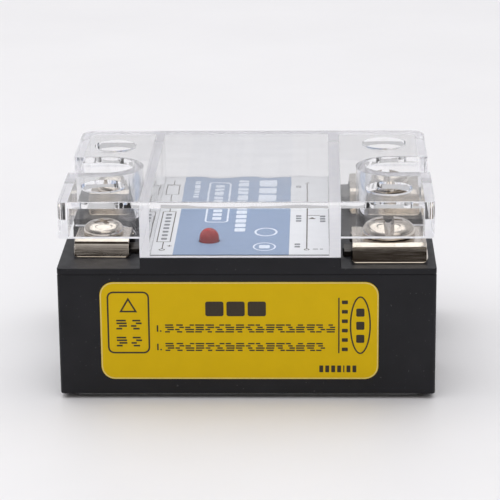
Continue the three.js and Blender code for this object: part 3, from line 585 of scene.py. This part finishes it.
INK_HEIGHT = 0.012
FILM_EDGE = 0.03
SIDE_FILM_CORNER = 2.2
BORDER_INSET = 0.06  # pale border line to the film's edge
BORDER_CORNER = 2.1
BORDER_LINE = 0.16
CLUSTER = (0.9, 0.55, 1.0, 0.75, 0.6, 0.95, 0.5)  # stroke lengths, as shares of a cluster


class Print:
    """Flat ink marks drawn in mm about a film's middle, then laid on the film as one thin piece."""

    def __init__(self):
        self.shape = bmesh.new()

    def bar(self, x, y, width, height, corner=0.0, turn=0.0):
        place = Matrix.Translation((x * MM, y * MM, 0)) @ Matrix.Rotation(math.radians(turn), 4, "Z")
        corners = sheet_face(self.shape, place @ Matrix.Diagonal((width * MM, height * MM, 1, 1)))
        if corner:
            round_corners(self.shape, corners, corner, 4)

    def hollow(self, faces, line):
        """Leaves only a line of the faces' edge."""
        bmesh.ops.inset_region(self.shape, faces=faces, thickness=line * MM, use_boundary=True,
                               use_even_offset=True)
        bmesh.ops.delete(self.shape, geom=faces, context="FACES")

    def frame(self, x, y, width, height, corner, line):
        before = set(self.shape.faces)
        self.bar(x, y, width, height, corner)
        self.hollow([f for f in self.shape.faces if f not in before], line)

    def ring(self, x, y, width, height, line, points=40, turn=0.0):
        before = set(self.shape.faces)
        place = Matrix.Translation((x * MM, y * MM, 0)) @ Matrix.Diagonal((width * MM, height * MM, 1, 1))
        bmesh.ops.create_circle(self.shape, cap_ends=True, segments=points, radius=0.5,
                                matrix=place @ Matrix.Rotation(math.radians(turn), 4, "Z"))
        self.hollow([f for f in self.shape.faces if f not in before], line)

    def line(self, x0, y0, x1, y1, width):
        turn = math.degrees(math.atan2(y1 - y0, x1 - x0))
        self.bar((x0 + x1) / 2, (y0 + y1) / 2, math.hypot(x1 - x0, y1 - y0), width, 0, turn)

    def words(self, x, y, lengths, height, gap):
        """A row of plain bars that stands in for a line of print, running along x."""
        for length in lengths:
            self.bar(x + length / 2, y, length, height, min(length, height) * 0.16)
            x += length + gap

    def close_print(self, x, y, count, size, pitch):
        """count small clusters of short strokes in a row: print too fine to read."""
        for number in range(count):
            for row, height in enumerate((0.4, 0.13, -0.13, -0.4)):
                width = size * CLUSTER[(number * 3 + row * 5) % len(CLUSTER)]
                shift = (size - width) * ((number + row) % 3 - 1) / 2
                self.bar(x + number * pitch + size / 2 + shift, y + height * size, width, size * 0.16)

    def column(self, x, y, lengths, width, gap):
        """The same, running along y."""
        for length in lengths:
            self.bar(x, y + length / 2, width, length, min(length, width) * 0.16)
            y += length + gap

    def lay(self, name, look, place):
        bmesh.ops.recalc_face_normals(self.shape, faces=self.shape.faces)
        if self.shape.faces[:] and self.shape.faces[:][0].normal.z < 0:
            bmesh.ops.reverse_faces(self.shape, faces=self.shape.faces)
        thicken(self.shape, INK_HEIGHT * MM)
        bmesh.ops.recalc_face_normals(self.shape, faces=self.shape.faces)
        bmesh.ops.transform(self.shape, matrix=place, verts=self.shape.verts)
        return make_piece(name, self.shape, look, BODY)


def side_film():
    """The yellow film on the front: a thin sheet with round corners, and its generic print."""
    low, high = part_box("side_label")
    middle = (low + high) / 2
    length, height = (high.x - low.x) / MM, (high.z - low.z) / MM
    stand = Matrix.Rotation(math.pi / 2, 4, "X")
    face = Matrix.Translation((middle.x, low.y, middle.z)) @ stand

    shape = bmesh.new()
    corners = sheet_face(shape, Matrix.Diagonal((length * MM, height * MM, 1, 1)))
    round_corners(shape, corners, SIDE_FILM_CORNER, 10)
    thicken(shape, low.y - high.y)
    bmesh.ops.transform(shape, matrix=face, verts=shape.verts)
    bmesh.ops.recalc_face_normals(shape, faces=shape.faces)
    soften(shape, FILM_EDGE, 1, 60)
    film_piece = make_piece("side_film", shape, LOOKS["side_print"], BODY)
    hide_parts("side_label")

    border = Print()
    border.frame(0, 0, length - 2 * BORDER_INSET, height - 2 * BORDER_INSET, BORDER_CORNER, BORDER_LINE)
    border.lay("side_film_border", PALE_INK, face)

    dark = Print()
    dark.frame(-17.6, 1.4, 6.75, 10.4, 1.0, 0.27)
    dark.ring(-17.6, 3.95, 3.3, 3.3, 0.27, points=3)
    for start in (-5.36, -2.0, 1.36):
        dark.bar(start + 1.45, 3.7, 2.9, 2.45, 0.35)
    dark.bar(15.8, 0.9, 0.22, 9.3)
    dark.ring(19.2, 0.95, 3.35, 9.7, 0.24)
    dark.lay("side_film_marks", DARK_INK, face)

    soft = Print()
    for y in (1.06, -1.8):
        soft.close_print(-19.55, y, 2, 1.7, 2.35)
    for y, count in ((0.42, 17), (-2.7, 16)):
        soft.bar(-13.0, y, 0.24, 1.1)
        soft.bar(-12.5, y - 0.45, 0.24, 0.24)
        soft.close_print(-11.8, y, count, 1.42, 1.6)
    soft.column(16.75, -3.4, (0.6,) * 6, 0.95, 0.98)
    soft.column(19.2, -2.0, (1.35,) * 3, 1.3, 0.85)
    soft.words(12.7, -6.4, (0.62,) * 4 + (0.2,) + (0.62,) * 2, 1.15, 0.33)
    soft.lay("side_film_text_bars", SOFT_INK, face)


FACE_FILM_SIDE = 0.17  # to each divider, beyond the CAD label's edge
FACE_FILM_FRONT = 0.25  # short of the CAD label's front edge
LED_HOLE = 1.72


def face_sheet(low, high):
    """The blue and white film itself, with its hole for the indicator."""
    shape = bmesh.new()
    start, end = low.x - FACE_FILM_SIDE * MM, high.x + FACE_FILM_SIDE * MM
    front = low.y + FACE_FILM_FRONT * MM
    middle = ((start + end) / 2, (front + high.y) / 2, (low.z + high.z) / 2)
    size = Matrix.Diagonal((end - start, high.y - front, high.z - low.z, 1))
    bmesh.ops.create_cube(shape, size=1, matrix=Matrix.Translation(middle) @ size)
    led = upright_axis("indicator_lens")
    drill = bmesh.new()
    bmesh.ops.create_cone(drill, cap_ends=True, segments=LED_STEPS, radius1=LED_HOLE * MM,
                          radius2=LED_HOLE * MM, depth=5 * MM,
                          matrix=Matrix.Translation((led.x, led.y, high.z)))
    carved(shape, drill)
    soften(shape, FILM_EDGE, 1, 60)
    piece = make_piece("face_film", shape, LOOKS["face_print"], BODY)
    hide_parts("face_label")


def face_film():
    """The film under the cover and its marks: a plain wiring figure, and bars instead of words."""
    low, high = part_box("face_label")
    face_sheet(low, high)
    face = Matrix.Translation((0, 0, high.z))

    dark = Print()
    dark.frame(-13.55, -5.0, 2.3, 17.2, 0.0, 0.17)
    dark.line(-13.55, -13.6, -13.55, -17.2, 0.17)
    dark.ring(-13.55, -17.75, 1.0, 1.0, 0.17, points=20)
    dark.line(-13.55, 3.6, -13.55, 10.2, 0.17)
    dark.frame(-13.55, 13.0, 2.3, 5.6, 0.0, 0.17)
    dark.line(-13.55, 15.8, -13.55, 19.2, 0.17)
    dark.line(-12.85, -15.7, -12.1, -15.7, 0.17)
    dark.line(-12.48, -16.1, -12.48, -15.3, 0.17)
    dark.line(9.5, -17.2, 9.5, 17.2, 0.2)
    dark.ring(9.5, -17.7, 0.9, 0.9, 0.17, points=20)
    dark.ring(9.5, 17.7, 0.9, 0.9, 0.17, points=20)
    dark.lay("face_film_figure", DARK_INK, face)

    faint = Print()
    faint.column(-13.55, -12.4, (1.0,) * 8, 0.95, 0.95)
    faint.column(8.1, -2.4, (0.9,) * 3, 0.9, 0.5)
    faint.column(12.1, -2.6, (0.9,) * 3, 0.9, 0.5)
    faint.column(8.0, -16.6, (0.8,) * 2, 0.9, 0.5)
    faint.column(8.0, 13.0, (0.8,) * 2, 0.9, 0.5)
    faint.words(10.5, -17.5, (0.8, 0.5), 0.35, 0.3)
    faint.lay("face_film_small_bars", FAINT_INK, face)

    arrow = Print()
    place = Matrix.Translation((10.35 * MM, -0.5 * MM, 0)) @ Matrix.Diagonal((1.5 * MM, 1.3 * MM, 1, 1))
    bmesh.ops.create_circle(arrow.shape, cap_ends=True, segments=3, radius=0.5, matrix=place)
    arrow.line(9.6, 1.2, 11.6, 1.2, 0.2)
    arrow.lay("face_film_arrow", DARK_INK, face)

    white = Print()
    white.frame(-5.5, 7.2, 3.9, 19.8, 0.9, 0.3)
    white.column(-5.5, -1.2, (1.5,) * 8, 1.5, 0.7)
    white.column(-1.45, -7.9, (1.9,) * 11, 1.75, 0.62)
    white.column(-9.4, 8.0, (1.0,) * 7, 0.9, 0.6)
    for y in (8.2, 12.6, 17.0):
        white.bar(2.75, y, 3.0, 3.4, 0.4)
    white.ring(2.75, -16.2, 3.7, 4.4, 0.26)
    white.bar(2.75, -16.2, 1.7, 1.7, 0.3)
    white.ring(2.85, -8.2, 3.8, 4.6, 0.36)
    white.lay("face_film_white_marks", WHITE_INK, face)


side_film()
face_film()

# ------------------------------------------------------------------ looks of the nodes that stay

for row in frame["record"]["subparts"]:
    node = frame["nodes"][row["node"]]
    node.data.materials.clear()
    node.data.materials.append(LOOKS[row["material_slot"]])

# ------------------------------------------------------------------ studio

FLOOR_SIZE = 6.0
FRONT_SHADE = (0.042, 0.033, 0.027, 1)
SWEEP_WHITE = (0.93, 0.925, 0.945, 1)
WORLD_STRENGTH = 0.605
SWEEP_BEHIND = (-0.5, 0.45)  # over these Y directions the room turns white
SWEEP_ABOVE = (0.25, 0.75)  # and over these Z directions


def pale_floor():
    """A matt sheet that the relay stands on."""
    surface = Finish("pale_floor")
    cloud = surface.speckle(60, detail=3)
    surface.colour(surface.mix(surface.fit(cloud, 0, 1), (0.79, 0.785, 0.80), (0.82, 0.815, 0.83)))
    surface.roughness(surface.fit(surface.speckle(4), 0.5, 0.6))
    shape = bmesh.new()
    sheet_face(shape, Matrix.Diagonal((FLOOR_SIZE, FLOOR_SIZE, 1, 1)))
    mesh = bpy.data.meshes.new("floor")
    shape.to_mesh(mesh)
    shape.free()
    mesh.materials.append(surface.material)
    floor = bpy.data.objects.new("floor", mesh)
    bpy.context.scene.collection.objects.link(floor)


def studio_world():
    """A white sweep behind and overhead, and a dimmer, warmer room in front."""
    world = bpy.data.worlds.new("studio")
    bpy.context.scene.world = world
    world.use_nodes = True
    tree = world.node_tree
    tree.nodes.clear()
    output = tree.nodes.new("ShaderNodeOutputWorld")
    background = tree.nodes.new("ShaderNodeBackground")
    direction = tree.nodes.new("ShaderNodeTexCoord").outputs["Generated"]
    split = tree.nodes.new("ShaderNodeSeparateXYZ")
    tree.links.new(direction, split.inputs["Vector"])

    def swell(value, start, end):
        node = tree.nodes.new("ShaderNodeMapRange")
        node.interpolation_type = "SMOOTHSTEP"
        node.inputs["From Min"].default_value = start
        node.inputs["From Max"].default_value = end
        tree.links.new(value, node.inputs["Value"])
        return node.outputs["Result"]

    larger = tree.nodes.new("ShaderNodeMath")
    larger.operation = "MAXIMUM"
    tree.links.new(swell(split.outputs["Y"], *SWEEP_BEHIND), larger.inputs[0])
    tree.links.new(swell(split.outputs["Z"], *SWEEP_ABOVE), larger.inputs[1])
    shade = tree.nodes.new("ShaderNodeMix")
    shade.data_type = "RGBA"
    tree.links.new(larger.outputs[0], shade.inputs["Factor"])
    first, second = [s for s in shade.inputs if s.type == "RGBA"][:2]
    first.default_value = FRONT_SHADE
    second.default_value = SWEEP_WHITE
    tree.links.new([s for s in shade.outputs if s.type == "RGBA"][0], background.inputs["Color"])
    background.inputs["Strength"].default_value = WORLD_STRENGTH
    tree.links.new(background.outputs["Background"], output.inputs["Surface"])


def softbox(name, place, target, size, power, colour=(1, 1, 1)):
    """A rectangular lamp, power in watts, that faces a target."""
    lamp = bpy.data.lights.new(name, "AREA")
    lamp.shape = "RECTANGLE"
    lamp.size, lamp.size_y = size
    lamp.energy = power
    lamp.color = colour
    holder = bpy.data.objects.new(name, lamp)
    bpy.context.scene.collection.objects.link(holder)
    holder.location = place
    holder.rotation_euler = (Vector(target) - Vector(place)).to_track_quat("-Z", "Y").to_euler()


CAMERA_PLACE = (11.187, -372.996, 135.241)  # mm
CAMERA_PITCH = 17.4546  # degrees, and so the next two
CAMERA_YAW = 1.7262
CAMERA_ROLL = -0.5669
LENS = 168.451
SENSOR = 36


def camera():
    """Looks along +Y and a little down, from a long lens."""
    eye = bpy.data.cameras.new("camera")
    eye.sensor_width = SENSOR
    eye.lens = LENS
    eye.clip_start = 0.01
    eye.clip_end = 20
    holder = bpy.data.objects.new("camera", eye)
    bpy.context.scene.collection.objects.link(holder)
    turn = Matrix.Rotation(math.radians(CAMERA_YAW), 4, "Z")
    tilt = Matrix.Rotation(math.radians(90 - CAMERA_PITCH), 4, "X")
    roll = Matrix.Rotation(math.radians(CAMERA_ROLL), 4, "Z")
    holder.matrix_world = Matrix.Translation(Vector(CAMERA_PLACE) * MM) @ turn @ tilt @ roll
    bpy.context.scene.camera = holder


pale_floor()
studio_world()
softbox("overhead", (-0.10, 0.10, 0.75), (0, 0, 0), (1.5, 1.3), 7.2)
softbox("front_fill", (0.25, -0.75, 0.50), (0, 0, 0.01), (1.0, 0.5), 1.3, (1.0, 0.95, 0.9))
camera()

scene = bpy.context.scene
scene.view_settings.view_transform = "Standard"
scene.cycles.caustics_refractive = True
scene.cycles.caustics_reflective = False
scene.cycles.max_bounces = 24
scene.cycles.transmission_bounces = 24
scene.cycles.glossy_bounces = 8
scene.cycles.transparent_max_bounces = 24
